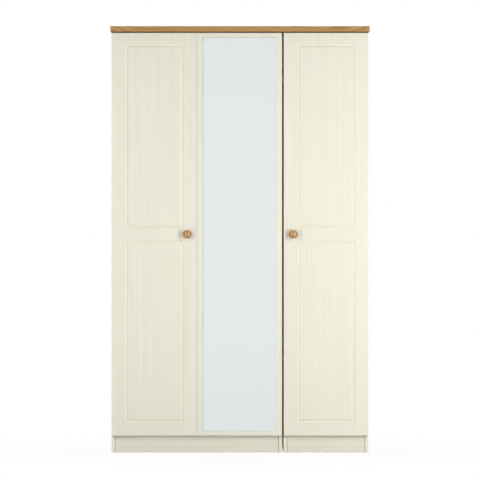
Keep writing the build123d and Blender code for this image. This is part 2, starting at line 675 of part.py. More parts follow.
def make_hinges():
    """The hinge pieces of all three doors, and their screws."""
    cup, pin, arm, plate = make_hinge_cup(), make_hinge_pin(), make_hinge_arm(), make_hinge_plate()
    cup_screw = make_pan_screw(
        SMALL_SCREW_RADIUS, SMALL_SCREW_HEAD_RADIUS, SMALL_SCREW_HEAD, SMALL_SCREW_BITE + CUP_FLANGE
    )
    for door in DOORS:
        places = hinge_places(door)
        heads = [(x, y + CUP_FLANGE, z) for x, y, z in cup_screw_points(door)]
        save_copies(cup, f"{door.name}_hinge_cups", places)
        save_copies(pin, f"{door.name}_hinge_pins", places)
        save_copies(cup_screw, f"{door.name}_cup_screws", facing(heads, REAR))
        save_copies(arm, f"{door.name}_hinge_arms", places)
        save_copies(plate, f"{door.name}_hinge_plates", places)
    plate_screw = make_pan_screw(
        PLATE_SCREW_RADIUS, PLATE_SCREW_HEAD_RADIUS, PLATE_SCREW_HEAD, PLATE_WING_THICKNESS + SMALL_SCREW_BITE
    )
    arm_screw = make_pan_screw(
        ARM_SCREW_RADIUS, ARM_SCREW_HEAD_RADIUS, ARM_SCREW_HEAD, ARM_THICKNESS + ARM_SCREW_BITE
    )
    plate_screw_places, arm_screw_places = [], []
    for door in DOORS:
        look = (door.hand, 0, 0)
        x_pivot = hinge_edge(door) + door.hand * PIVOT_EDGE
        x_wing = x_pivot + door.hand * (SIDE_FACE + PLATE_WING_THICKNESS)
        plate_screw_places += facing(plate_screw_points(x_wing), look)
        arm_heads = [(x_pivot + door.hand * ARM_OUTER, Y_FRONT + ARM_SCREW_SETBACK, z) for z in HINGE_HEIGHTS]
        arm_screw_places += facing(arm_heads, look)
    save_copies(plate_screw, "hinge_plate_screws", plate_screw_places)
    save_copies(arm_screw, "hinge_arm_screws", arm_screw_places)


# Inside fittings

def make_rail(unit):
    """The hanging rail, a chromed tube held between two sockets."""
    (x_left, _), (x_right, _) = inner_faces(unit)
    start = x_left + SOCKET_FLANGE + SOCKET_CLEARANCE
    with BuildPart() as rail:
        with BuildSketch(Plane.YZ.offset(start)):
            with Locations((Y_RAIL, RAIL_HEIGHT)):
                Circle(RAIL_RADIUS)
                Circle(RAIL_RADIUS - RAIL_WALL, mode=Mode.SUBTRACT)
        extrude(amount=x_right - SOCKET_FLANGE - SOCKET_CLEARANCE - start)
    save(rail, f"{unit.name}_hanging_rail")


def make_rail_sockets():
    """A flanged socket at each end of each rail."""
    collar_radius = RAIL_RADIUS + SOCKET_CLEARANCE + SOCKET_WALL
    screw_holes = [(0, rise * SOCKET_SCREW_SPACING / 2, SOCKET_FLANGE) for rise in (-1, 1)]
    with BuildPart() as socket:
        with BuildSketch():
            SlotOverall(SOCKET_LENGTH, SOCKET_WIDTH, rotation=90)
        extrude(amount=SOCKET_FLANGE)
        with BuildSketch(Plane.XY.offset(SOCKET_FLANGE)):
            Circle(collar_radius)
            Circle(RAIL_RADIUS + SOCKET_CLEARANCE, mode=Mode.SUBTRACT)
        extrude(amount=SOCKET_COLLAR)
        with Locations(*screw_holes):
            Hole(SMALL_SCREW_RADIUS + HOLE_FIT, depth=SOCKET_FLANGE)
    screw = make_pan_screw(
        SMALL_SCREW_RADIUS, SMALL_SCREW_HEAD_RADIUS, SMALL_SCREW_HEAD, SOCKET_FLANGE + SMALL_SCREW_BITE
    )
    sockets, screws = [], []
    for unit in UNITS:
        for x, inward in inner_faces(unit):
            sockets += facing([(x, Y_RAIL, RAIL_HEIGHT)], (inward, 0, 0))
            screws += facing(socket_screw_points(x + inward * SOCKET_FLANGE), (inward, 0, 0))
    save_copies(socket, "rail_sockets", sockets)
    save_copies(screw, "rail_socket_screws", screws)


def make_cams():
    """Cam locks in the level boards and the bolts that they draw in."""
    head_end = CAM_DISTANCE
    with BuildPart() as bolt:
        with BuildSketch(Plane.XY):
            with BuildLine():
                neck_start = head_end - CAM_BOLT_HEAD - CAM_BOLT_NECK
                Polyline(
                    (-CAM_BOLT_BITE, 0),
                    (-CAM_BOLT_BITE, CAM_BOLT_RADIUS),
                    (neck_start, CAM_BOLT_RADIUS),
                    (neck_start, CAM_BOLT_NECK_RADIUS),
                    (head_end - CAM_BOLT_HEAD, CAM_BOLT_NECK_RADIUS),
                    (head_end - CAM_BOLT_HEAD, CAM_BOLT_HEAD_RADIUS),
                    (head_end, CAM_BOLT_HEAD_RADIUS),
                    (head_end, 0),
                    close=True,
                )
            make_face()
        revolve(axis=Axis.X)
    with BuildPart() as cam:
        with BuildSketch():
            Circle(CAM_RADIUS)
        extrude(amount=CAM_HEIGHT)
        with BuildSketch(Plane.YZ):
            with Locations((0, BOARD / 2)):
                Rectangle(CAM_SLOT, CAM_SLOT)
        extrude(amount=-CAM_RADIUS, mode=Mode.SUBTRACT)
        with BuildSketch():
            Rectangle(2 * RECESS_LENGTH * CAM_RADIUS, 2 * RECESS_WIDTH * CAM_RADIUS)
            Rectangle(2 * RECESS_WIDTH * CAM_RADIUS, 2 * RECESS_LENGTH * CAM_RADIUS)
        extrude(amount=RECESS_DEPTH, mode=Mode.SUBTRACT)
    bolts, cams = [], []
    for unit in UNITS:
        for x, inward in inner_faces(unit):
            turn = (0, 0, 0 if inward > 0 else 180)
            for y in cam_depths():
                bolts += [Location((x, y, z), turn) for z in cam_heights()]
                cams += [Location((x + inward * CAM_DISTANCE, y, z - BOARD / 2), turn) for z in cam_heights()]
    save_copies(bolt, "cam_bolts", bolts)
    save_copies(cam, "cam_locks", cams)


def make_dowels():
    """Dowels between the sides and the floor boards."""
    with BuildPart() as dowel:
        with BuildSketch(Plane.XY.offset(-DOWEL_SIDE_BITE)):
            Circle(DOWEL_RADIUS)
        extrude(amount=DOWEL_SIDE_BITE + DOWEL_BOARD_BITE)
        chamfer(dowel.edges().filter_by(GeomType.CIRCLE), DOWEL_CHAMFER)
    places = []
    for unit in UNITS:
        for x, inward in inner_faces(unit):
            places += facing([(x, y, PLINTH_HEIGHT / 2) for y in (Y_PLINTH, Y_REAR_RAIL)], (inward, 0, 0))
    save_copies(dowel, "plinth_dowels", places)


def make_connectors():
    """Bolts through the two neighbouring sides, and the spacers between them."""
    x_start = DOUBLE.right - BOARD
    length = 2 * BOARD + UNIT_GAP
    with BuildPart() as connector:
        with BuildSketch():
            Circle(CONNECTOR_RADIUS)
        extrude(amount=length)
        with BuildSketch(Plane.XY.offset(length)):
            Circle(CONNECTOR_HEAD_RADIUS)
        extrude(amount=CONNECTOR_HEAD)
        with BuildSketch():
            Circle(CONNECTOR_HEAD_RADIUS)
        extrude(amount=-CONNECTOR_HEAD)
        end_faces = connector.faces().filter_by(Axis.Z).sort_by(Axis.Z)
        fillet(end_faces[0].edges() + end_faces[-1].edges(), CONNECTOR_HEAD_ROUND)
    save_copies(connector, "unit_connectors", facing(connector_points(x_start), (1, 0, 0)))
    with BuildPart() as spacer:
        with BuildSketch():
            Circle(SPACER_RADIUS)
            Circle(CONNECTOR_RADIUS + HOLE_FIT, mode=Mode.SUBTRACT)
        extrude(amount=UNIT_GAP)
    save_copies(spacer, "unit_spacers", facing(connector_points(DOUBLE.right), (1, 0, 0)))


def make_buffers():
    """Soft buffers on the front edges of base and ceiling, near each door's free edge."""
    height = DOOR_GAP - BUFFER_CLEARANCE
    with BuildPart() as buffer:
        with BuildSketch():
            Circle(BUFFER_RADIUS)
        extrude(amount=height)
        fillet(buffer.faces().sort_by(Axis.Z)[-1].edges(), BUFFER_DOME)
    heights = (middle(DOOR_LOW, BASE_LOW + BOARD), middle(CEILING_LOW, DOOR_HIGH))
    points = [(free_edge(door) - door.hand * BUFFER_INSET, Y_FRONT, z) for door in DOORS for z in heights]
    save_copies(buffer, "door_buffers", facing(points, FRONT))


def make_wall_brackets():
    """An angle under each ceiling, with a hole through the back for a wall screw."""
    with BuildPart() as brackets:
        for unit in UNITS:
            start = middle(unit.left, unit.right) - BRACKET_WIDTH / 2
            with BuildSketch(Plane.YZ.offset(start)):
                with BuildLine():
                    Polyline(
                        (Y_BACK_PANEL, CEILING_LOW),
                        (Y_BACK_PANEL - BRACKET_LEG, CEILING_LOW),
                        (Y_BACK_PANEL - BRACKET_LEG, CEILING_LOW - BRACKET_THICKNESS),
                        (Y_BACK_PANEL - BRACKET_THICKNESS, CEILING_LOW - BRACKET_THICKNESS),
                        (Y_BACK_PANEL - BRACKET_THICKNESS, CEILING_LOW - BRACKET_DROP),
                        (Y_BACK_PANEL, CEILING_LOW - BRACKET_DROP),
                        close=True,
                    )
                make_face()
            extrude(amount=BRACKET_WIDTH)
            with Locations(*facing([bracket_hole_point(unit, Y_BACK_PANEL - BRACKET_THICKNESS)], FRONT)):
                Hole(BRACKET_HOLE_RADIUS, depth=BRACKET_THICKNESS)
            seats = [(x, y, z - BRACKET_THICKNESS) for x, y, z in bracket_screw_points(unit)]
            with Locations(*facing(seats, DOWN)):
                Hole(SMALL_SCREW_RADIUS + HOLE_FIT, depth=BRACKET_THICKNESS)
    save(brackets, "wall_brackets")
    screw = make_pan_screw(
        SMALL_SCREW_RADIUS, SMALL_SCREW_HEAD_RADIUS, SMALL_SCREW_HEAD, BRACKET_THICKNESS + SMALL_SCREW_BITE
    )
    points = bracket_screw_points(DOUBLE) + bracket_screw_points(SINGLE)
    seats = [(x, y, z - BRACKET_THICKNESS) for x, y, z in points]
    save_copies(screw, "wall_bracket_screws", facing(seats, DOWN))


def make_top_screws():
    """Flush screws up through the ceilings into the oak top."""
    screw = make_flush_screw(TOP_SCREW_RADIUS, TOP_SCREW_HEAD_RADIUS, BOARD + TOP_SCREW_BITE)
    points = top_screw_points(DOUBLE) + top_screw_points(SINGLE)
    save_copies(screw, "top_fixing_screws", facing(points, DOWN))


def make_knob_bolt(door):
    """A bolt from inside the door into the knob."""
    bolt = make_pan_screw(
        KNOB_BOLT_RADIUS, KNOB_BOLT_HEAD_RADIUS, KNOB_BOLT_HEAD_HEIGHT, DOOR_THICKNESS + KNOB_BOLT_BITE
    )
    save_copies(bolt, f"{door.name}_knob_bolt", facing([(knob_x(door), Y_DOOR_BACK, KNOB_HEIGHT)], REAR))


def main():
    os.makedirs("parts", exist_ok=True)
    make_top()
    for unit in UNITS:
        make_panel(unit, "base", BASE_LOW, Y_FRONT)
        make_panel(unit, "hat_shelf", SHELF_LOW, Y_FRONT + SHELF_SETBACK)
        make_panel(unit, "ceiling", CEILING_LOW, Y_FRONT, is_ceiling=True)
        make_floor_board(unit, "plinth", Y_PLINTH)
        make_floor_board(unit, "rear_rail", Y_REAR_RAIL)
        make_back(unit)
        make_rail(unit)
    make_side(DOUBLE, "left", DOUBLE.left + BOARD, 1, has_hinges=True, is_joined=False)
    make_side(DOUBLE, "right", DOUBLE.right - BOARD, -1, has_hinges=True, is_joined=True)
    make_side(SINGLE, "left", SINGLE.left + BOARD, 1, has_hinges=False, is_joined=True)
    make_side(SINGLE, "right", SINGLE.right - BOARD, -1, has_hinges=True, is_joined=False)
    make_door(LEFT, door_fields(LEFT), has_knob=True)
    make_door(MIRROR, (), has_knob=False)
    make_door(RIGHT, door_fields(RIGHT), has_knob=True)
    for door in (LEFT, RIGHT):
        make_knob(door)
        make_knob_bolt(door)
    make_mirror(MIRROR)
    make_hinges()
    make_rail_sockets()
    make_cams()
    make_dowels()
    make_connectors()
    make_buffers()
    make_wall_brackets()
    make_top_screws()


if __name__ == "__main__":
    main()
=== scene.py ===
"""Finishes a cream three-door wardrobe with an oak top, and sets the studio around it.

Every size is in metres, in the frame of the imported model: X to the right, Y to the wall, Z up.
"""

from math import pi, radians, sin

import bpy
from bpy.props import FloatProperty, FloatVectorProperty, PointerProperty
from bpy.types import Operator, Panel, PropertyGroup
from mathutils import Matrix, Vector


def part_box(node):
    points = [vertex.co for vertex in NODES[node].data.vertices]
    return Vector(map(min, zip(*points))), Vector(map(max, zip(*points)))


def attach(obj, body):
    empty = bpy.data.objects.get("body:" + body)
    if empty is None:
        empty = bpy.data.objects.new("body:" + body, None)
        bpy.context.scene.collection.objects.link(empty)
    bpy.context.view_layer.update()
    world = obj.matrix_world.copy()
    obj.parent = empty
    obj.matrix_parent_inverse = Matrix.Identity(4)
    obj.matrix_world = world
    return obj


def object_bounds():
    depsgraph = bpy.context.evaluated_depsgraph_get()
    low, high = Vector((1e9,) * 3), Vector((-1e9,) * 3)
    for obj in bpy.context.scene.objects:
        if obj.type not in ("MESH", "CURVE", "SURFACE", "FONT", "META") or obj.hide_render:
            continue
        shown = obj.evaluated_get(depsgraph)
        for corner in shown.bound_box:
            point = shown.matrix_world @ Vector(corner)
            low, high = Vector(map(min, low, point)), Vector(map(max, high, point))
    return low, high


bl_info = {
    "name": "Three-door wardrobe",
    "version": (1, 0, 0),
    "blender": (4, 5, 0),
    "location": "3D View > Sidebar > Wardrobe",
    "description": "Finishes for a cream wardrobe with an oak top, a mirror door and turned knobs",
    "category": "Object",
}

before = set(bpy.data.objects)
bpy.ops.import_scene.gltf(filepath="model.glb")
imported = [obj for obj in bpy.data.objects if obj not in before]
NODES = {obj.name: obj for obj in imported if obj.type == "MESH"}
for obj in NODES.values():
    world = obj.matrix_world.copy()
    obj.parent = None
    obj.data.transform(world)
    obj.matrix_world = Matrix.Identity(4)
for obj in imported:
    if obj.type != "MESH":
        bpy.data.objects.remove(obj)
CAD_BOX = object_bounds()

DOORS = ("left_door", "mirror_door", "right_door")
KNOBS = ("left_knob", "right_knob")

# Shares and limits of the finishes; lengths are in metres, and sizes run along X, Y and Z
NOISE_LOW, NOISE_HIGH = 0.3, 0.7  # nearly all soft noise lies between these
FACING = 0.8  # a face looks along an axis where that part of its normal is over this

FINE_STREAK_LENGTH = 90  # in widths of the streak
BROAD_STREAK_WIDTH = 4  # in widths of the fine streak
BROAD_STREAK_LENGTH = 150  # in widths of the broad streak
FOIL_CLOUD = (0.35, 0.35, 0.5)
FOIL_SPREAD = 0.088  # from the cream to its darkest streaks
BOARD_CONTRAST = 0.7  # streaks of the carcass boards, as a share of those of the doors
BOARD_ROUGHNESS = 0.42
LOW_BOARD_PAINTED_SHADE = 0.935  # painted shade: cream of the plinths and rear rails, darkened as a share of that of the doors, for the shade they sit in
CHIP_ROUGHNESS = 0.95
SLOT_SHINE = 0.1

OAK_WANDER = (0.8, 0.16, 0.16)
OAK_RIPPLE = (0.16, 0.03, 0.03)
WANDER_REACH = 0.24
HEART_DEPTH = 0.1  # from the top face down to the heart of the rings
HEART_SLOPE = 0.035
RIPPLE_RINGS = 1.6
PORE_STAIN = 0.4
# painted shade: how far the oak's downward-facing lower edge is darkened towards the pore colour
LOWER_EDGE_PAINTED_SHADE = 0.85
OAK_RELIEF = 0.00015

KNOB_FIBRE = 0.0009
KNOB_RELIEF = 0.00004
LACQUER_IOR = 1.7
LACQUER_ROUGHNESS = 0.03

MIRROR_SMUDGE = (0.12, 0.12, 0.2)
MIRROR_ROUGHNESS = 0.012
MIRROR_EDGE_ROUGHNESS = 0.6
# painted shade: the mirror darkens over these reaches from its foot and its head, by these shares,
# towards this tone of the silver; the tone also darkens random smudges
FOOT_SHADE_REACH, FOOT_PAINTED_SHADE = 0.45, 0.09
HEAD_SHADE_REACH, HEAD_PAINTED_SHADE = 0.4, 0.06
SMUDGE_AND_SHADE_TONE = 0.4

MESH_TURN = 2600.0  # radians to a metre
HARDBOARD_FIBRE = (0.004, 0.004, 0.006)
HARDBOARD_FLOW = (0.05, 0.05, 0.08)
HARDBOARD_CLOUD = (0.25, 0.25, 0.4)
HARDBOARD_RELIEF = 0.0002
PAINTED_ROUGHNESS, HARDBOARD_ROUGHNESS = 0.5, 0.82

SMALL_CLOUD = (0.03, 0.03, 0.03)
PLATED_RELIEF = 0.00003
BEECH_FIBRE = (0.02, 0.0007, 0.0007)
BEECH_RELIEF = 0.00008
PEBBLE_RELIEF = 0.12  # in sizes of the pebble

# The strip in the slot between the units
STRIP_RIBS = 4
STEPS_PER_RIB = 8
STRIP_WAIST = 0.72  # width of the hollows between the ribs, as a share of the slot

# The studio
FLOOR_GREY = 0.34
FLOOR_ROUGHNESS = 0.6
SHADE_REACH, SHADE_END = 0.7, 1.6  # the floor's shade fades out between these distances
SHADE_SHARE = 0.05
LAMP_HEIGHT, AIM_HEIGHT = 1.1, 1.0
FRONT_LAMP = (0.45, 2.4)
SIDE_LAMP = (0.8, 2.4)
OVERHEAD_LAMP = (2.4, 1.6)
REAR_LAMP = (1.6, 2.0)


def paint(red, green, blue):
    """A colour given in display bytes, as the linear numbers that shaders take."""
    shares = [byte / 255 for byte in (red, green, blue)]
    return tuple(s / 12.92 if s <= 0.04045 else ((s + 0.055) / 1.055) ** 2.4 for s in shares)


def colour(name, description, default):
    return FloatVectorProperty(
        name=name, description=description, default=default, subtype="COLOR", size=3, min=0, max=1
    )


def length(name, description, default):
    return FloatProperty(
        name=name, description=description, default=default, unit="LENGTH", min=0, precision=4
    )


def power(name, description, default):
    return FloatProperty(name=name, description=description, default=default, unit="POWER", min=0)


class WardrobeColours(PropertyGroup):
    """Colours of the finishes."""

    cream: colour("Cream", "Foil on the doors and boards", paint(238, 235, 217))
    oak_light: colour("Oak, light", "Early wood of the oak top", paint(192, 151, 89))
    oak_dark: colour("Oak, dark", "Late wood of the oak top", paint(146, 105, 50))
    # this colour also serves as the painted shade on the oak top's downward-facing lower edge
    oak_pore_and_shade: colour("Oak pores", "Open pores of the oak top", paint(98, 66, 36))
    knob_light: colour("Knob, light", "Light grain of the turned knobs", paint(205, 153, 62))
    knob_dark: colour("Knob, dark", "Dark grain of the turned knobs", paint(138, 92, 26))
    silver: colour("Mirror", "Tint of the silvered glass", paint(229, 234, 234))
    glass_edge: colour("Glass edge", "Ground edge of the mirror", paint(238, 243, 239))
    hardboard: colour("Hardboard", "Rear face of the thin backs", paint(166, 126, 86))
    chip_light: colour("Chips, light", "Light chips in the bare board edges", paint(206, 176, 134))
    chip_dark: colour("Chips, dark", "Dark chips in the bare board edges", paint(142, 104, 64))
    # painted shade: dark colour that stands in for the shade inside the open joints at the ends of the
    # plinths and rear rails
    joint_shade: colour("Joint", "Open joints at the ends of the plinths and rear rails", paint(70, 62, 52))
    chrome: colour("Chrome", "Plating of the hanging rails", paint(232, 233, 235))
    nickel: colour("Nickel", "Plating of the hinges and brackets", paint(206, 203, 196))
    zinc: colour("Zinc", "Plating of the screws and cam fittings", paint(208, 208, 206))
    beech: colour("Beech", "Bare dowels", paint(206, 170, 122))
    plastic: colour("Plastic", "Rail sockets and spacers", paint(232, 230, 222))
    foam: colour("Foam", "Tape behind the mirror", paint(236, 236, 234))
    rubber: colour("Rubber", "Door buffers and the strip in the slot", paint(222, 220, 212))


class WardrobeSizes(PropertyGroup):
    """Sizes of the grain, the painted shade of the joints, the strip in the slot and the view."""

    foil_streak: length("Foil streak", "Width of the fine streaks pressed into the foil", 0.0016)
    foil_relief: length("Foil relief", "Depth of the streaks pressed into the foil", 0.0002)
    oak_ring: length("Oak ring", "Spacing of the growth rings in the oak", 0.0085)
    oak_fibre: length("Oak fibre", "Width of the fibres in the oak", 0.0013)
    chip: length("Chip", "Size of the chips in the bare board edges", 0.0019)
    # painted shade: width of the dark band painted for each open joint
    plinth_joint_shade: length("Plinth joint", "Width of the open joints beside the plinths", 0.0014)
    strip_depth: length("Strip depth", "Depth of the ribbed strip in the slot", 0.026)
    strip_inset: length("Strip inset", "From the rear of the side boards in to the strip", 0.006)
    strip_end: length("Strip end", "From the strip to the floor and to the oak top", 0.003)
    view_distance: length("Camera distance", "From the camera to the door fronts", 20.0)
    view_width: length("View width", "Width that the picture shows at the door fronts", 2.0535)
    view_height: length("View height", "Height of the camera above the floor", 0.9103)
    floor_reach: length("Floor reach", "Half the width of the floor", 30.0)


class WardrobeStudio(PropertyGroup):
    """Powers of the lamps, and the strength of the light from all around."""

    right: power("Right strip", "Lamp in front, on the right", 49.3)
    left: power("Left box", "Lamp in front, on the left", 31.5)
    overhead: power("Overhead box", "Lamp above the wardrobe", 26.0)
    side: power("Side boxes", "Each of the two lamps beside the wardrobe", 28.0)
    rear: power("Rear box", "Lamp behind the wardrobe", 30.0)
    world: FloatProperty(
        name="World", description="Strength of the light from all around", default=0.02, min=0
    )


class Wire:
    """A node's output that takes part in Python expressions on values."""

    def __init__(self, finish, socket):
        self.finish = finish
        self.socket = socket

    def math(self, operation, first, second):
        return self.finish.node("ShaderNodeMath", {"operation": operation}, {0: first, 1: second})

    def __add__(self, other):
        return self.math("ADD", self, other)

    def __radd__(self, other):
        return self.math("ADD", other, self)

    def __sub__(self, other):
        return self.math("SUBTRACT", self, other)

    def __rsub__(self, other):
        return self.math("SUBTRACT", other, self)

    def __mul__(self, other):
        return self.math("MULTIPLY", self, other)

    def __gt__(self, other):
        return self.math("GREATER_THAN", self, other)


class Nodes:
    """A node tree in the making."""

    def __init__(self, tree):
        self.tree = tree

    def feed(self, socket, value):
        if isinstance(value, Wire):
            self.tree.links.new(value.socket, socket)
        elif isinstance(value, (int, float)):
            socket.default_value = value
        else:
            numbers = tuple(value)
            opaque = (1.0,) if socket.type == "RGBA" and len(numbers) == 3 else ()
            socket.default_value = numbers + opaque

    def node(self, kind, settings=None, inputs=None, output=0):
        """Adds a node, sets it up, fills its sockets and gives one of its outputs."""
        added = self.tree.nodes.new(kind)
        for name, value in (settings or {}).items():
            setattr(added, name, value)
        for name, value in (inputs or {}).items():
            self.feed(added.inputs[name], value)
        return Wire(self, added.outputs[output])

    def place(self, output="Object"):
        return self.node("ShaderNodeTexCoord", output=output)

    def stretched(self, across):
        """The object's own coordinates, counted in steps of the given sizes along X, Y and Z."""
        steps = [1 / size for size in across]
        return self.node("ShaderNodeMapping", inputs={"Vector": self.place(), "Scale": steps})

    def noise(self, across, detail=2.0, roughness=0.5, distortion=0.0):
        """Soft noise from 0 to 1 whose features have the given sizes along X, Y and Z."""
        return self.node(
            "ShaderNodeTexNoise",
            inputs={
                "Vector": self.stretched(across),
                "Scale": 1.0,
                "Detail": detail,
                "Roughness": roughness,
                "Distortion": distortion,
            },
        )

    def part(self, vector, axis):
        """One of the X, Y and Z parts of a vector."""
        return self.node("ShaderNodeSeparateXYZ", inputs={0: vector}, output=axis)

    def distance(self, vector):
        """The length of a vector."""
        return self.node("ShaderNodeVectorMath", {"operation": "LENGTH"}, {0: vector}, output="Value")

    def single(self, operation, value):
        """A sum on one value, such as its sine."""
        return self.node("ShaderNodeMath", {"operation": operation}, {0: value})

    def larger(self, first, second):
        return self.node("ShaderNodeMath", {"operation": "MAXIMUM"}, {0: first, 1: second})

    def range(self, value, low=NOISE_LOW, high=NOISE_HIGH, start=0.0, end=1.0):
        """The value's stretch from low to high, spread from start to end and held there."""
        limits = {"From Min": low, "From Max": high, "To Min": start, "To Max": end}
        return self.node("ShaderNodeMapRange", inputs={"Value": value, **limits})

    def mix(self, factor, first, second):
        """A colour between two colours."""
        inputs = {0: factor, 6: first, 7: second}
        return self.node("ShaderNodeMix", {"data_type": "RGBA"}, inputs, output=2)

    def relief(self, height, depth):
        """A normal for a surface with that relief."""
        inputs = {"Height": height, "Distance": depth, "Strength": 1.0}
        return self.node("ShaderNodeBump", inputs=inputs)

    def seen_directly(self):
        """1 for what the camera, a reflection or clear glass shows, 0 for light that lights things."""
        camera = self.node("ShaderNodeLightPath", output="Is Camera Ray")
        glossy = self.node("ShaderNodeLightPath", output="Is Glossy Ray")
        through = self.node("ShaderNodeLightPath", output="Is Transmission Ray")
        return self.larger(camera, self.larger(glossy, through))

    def show(self, share, first, second, output):
        """Mixes two shaders and joins them to the tree's output."""
        mixed = self.node("ShaderNodeMixShader", inputs={0: share, 1: first, 2: second})
        self.feed(self.tree.nodes[output].inputs["Surface"], mixed)


class Finish(Nodes):
    """A material in the making, with its surface shader."""

    def __init__(self, name):
        self.material = bpy.data.materials.new(name)
        self.material.use_nodes = True
        super().__init__(self.material.node_tree)
        self.shader = self.tree.nodes["Principled BSDF"]

    def surface(self, **values):
        """Fills the shader's own sockets: Base_Color=... fills Base Color."""
        for name, value in values.items():
            self.feed(self.shader.inputs[name.replace("_", " ")], value)

    def lay_over(self, mask, tone):
        """Lays a colour over the one that the surface has, where the mask is 1."""
        under = Wire(self, self.shader.inputs["Base Color"].links[0].from_socket)
        self.surface(Base_Color=self.mix(mask, under, tone))


def coat(finish, names):
    """Puts the finish on the CAD nodes of those names."""
    for name in names:
        slots = NODES[name].data.materials
        slots.clear()
        slots.append(finish.material)


def shade(tone, factor):
    return tuple(part * factor for part in tone)


# Finishes

def cream_foil(name, colours, sizes, grain_axis=2, contrast=1.0, tone=1.0):
    """Cream foil with a fine grain pressed into it along one axis.

    A contrast under 1 softens the streaks, and a tone under 1 darkens the cream.
    """
    finish = Finish(name)
    fine_size = [sizes.foil_streak] * 3
    fine_size[grain_axis] *= FINE_STREAK_LENGTH
    broad_size = [BROAD_STREAK_WIDTH * sizes.foil_streak] * 3
    broad_size[grain_axis] *= BROAD_STREAK_LENGTH
    fine = finish.noise(fine_size, detail=3.0, roughness=0.6)
    broad = finish.noise(broad_size, detail=2.0)
    cloud = finish.noise(FOIL_CLOUD, detail=2.0)
    grain = fine * 0.4 + broad * 0.5 + cloud * 0.1
    spread = FOIL_SPREAD * contrast
    dark = shade(colours.cream, tone * (1 - spread))
    light = shade(colours.cream, tone * (1 + spread / 2))
    base = finish.mix(finish.range(grain), dark, light)
    height = fine * 0.6 + broad * 0.4
    finish.surface(
        Base_Color=base,
        Roughness=0.36 + fine * 0.14,
        Normal=finish.relief(height, sizes.foil_relief),
        Specular_IOR_Level=0.45,
    )
    return finish


def bare_chips(finish, colours, sizes):
    """The colour of bare particle board."""
    place = finish.stretched((sizes.chip, 1.6 * sizes.chip, 2.2 * sizes.chip))
    chips = finish.node(
        "ShaderNodeTexVoronoi", {"feature": "F1"}, {"Vector": place, "Scale": 1.0}, output="Color"
    )
    grit = finish.noise((0.4 * sizes.chip,) * 3, detail=3.0)
    tone = finish.part(chips, 0) * 0.7 + grit * 0.3
    return finish.mix(finish.range(tone, 0.15, 0.85), colours.chip_dark, colours.chip_light)


def side_board(name, colours, sizes, slot_side=0):
    """Cream faced board, bare at the rear and at its ends.

    A board beside the slot between the units is bare towards the slot too, and dull: slot_side is 1
    where the slot is on its right and -1 where it is on its left.
    """
    finish = cream_foil(name, colours, sizes, contrast=BOARD_CONTRAST)
    normal = finish.place("Normal")
    rear = finish.part(normal, 1) > FACING
    ends = finish.single("ABSOLUTE", finish.part(normal, 2)) > FACING
    bare = finish.larger(rear, ends)
    if slot_side:
        bare = finish.larger(bare, finish.part(normal, 0) * slot_side > FACING)
        finish.surface(Specular_IOR_Level=SLOT_SHINE)
    finish.lay_over(bare, bare_chips(finish, colours, sizes))
    finish.surface(Roughness=finish.range(bare, 0, 1, BOARD_ROUGHNESS, CHIP_ROUGHNESS))
    return finish


def low_board(name, colours, sizes, node):
    """Cream foil of a board near the floor, darkened as painted shade, with a dark band of painted
    shade for an open joint at each of its two ends.
    """
    # painted shade: the low boards' cream is darkened for the shade beneath the doors
    finish = cream_foil(
        name, colours, sizes, grain_axis=0, contrast=BOARD_CONTRAST, tone=LOW_BOARD_PAINTED_SHADE
    )
    low, high = (corner.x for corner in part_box(node))
    from_middle = finish.single("ABSOLUTE", finish.part(finish.place(), 0) - (low + high) / 2)
    # painted shade: a dark band at each end stands in for the shade inside an open joint
    joint_shade = from_middle > (high - low) / 2 - sizes.plinth_joint_shade
    finish.lay_over(joint_shade, colours.joint_shade)
    return finish


def oak(name, colours, sizes):
    """Satin oak with rings round a heart below the top, fibres, open pores, and painted shade that
    darkens its downward-facing lower edge towards the pore colour.
    """
    finish = Finish(name)
    place = finish.place()
    fibre = sizes.oak_fibre
    wander = finish.noise(OAK_WANDER, detail=2.0)
    ripple = finish.noise(OAK_RIPPLE, detail=3.0, roughness=0.6)
    across = finish.part(place, 1) + wander * WANDER_REACH
    tilted = finish.part(place, 2) + finish.part(place, 0) * HEART_SLOPE
    below = tilted - (CAD_BOX[1].z - HEART_DEPTH)
    heart = finish.node("ShaderNodeCombineXYZ", inputs={1: across, 2: below})
    reach = finish.distance(heart)
    growth = finish.single("FRACT", reach * (1 / sizes.oak_ring) + ripple * RIPPLE_RINGS)
    late = finish.range(growth, 0.35, 0.9) * finish.range(growth, 1.0, 0.92)
    fibres = finish.noise((80 * fibre, fibre, fibre), detail=4.0, roughness=0.65)
    pores = finish.noise((18 * fibre, 0.5 * fibre, 0.5 * fibre), detail=1.0)
    tone = 1.0 - (late * 0.34 + fibres * 0.42 + ripple * 0.24)
    wood = finish.mix(finish.range(tone, 0.3, 0.75), colours.oak_dark, colours.oak_light)
    open_pore = finish.range(pores, 0.6, 0.74) * (1.0 - late * 0.7)
    # painted shade: faces that turn downwards, the lower roundover of the top, darken towards the pore
    # colour
    under = finish.range(finish.part(finish.place("Normal"), 2), -0.05, -0.75)
    pore_stain_and_painted_shade = finish.larger(open_pore * PORE_STAIN, under * LOWER_EDGE_PAINTED_SHADE)
    finish.surface(
        Base_Color=finish.mix(pore_stain_and_painted_shade, wood, colours.oak_pore_and_shade),
        Roughness=0.4 + open_pore * 0.25 + fibres * 0.08,
        Normal=finish.relief(fibres * 0.4 - open_pore * 0.6, OAK_RELIEF),
    )
    return finish


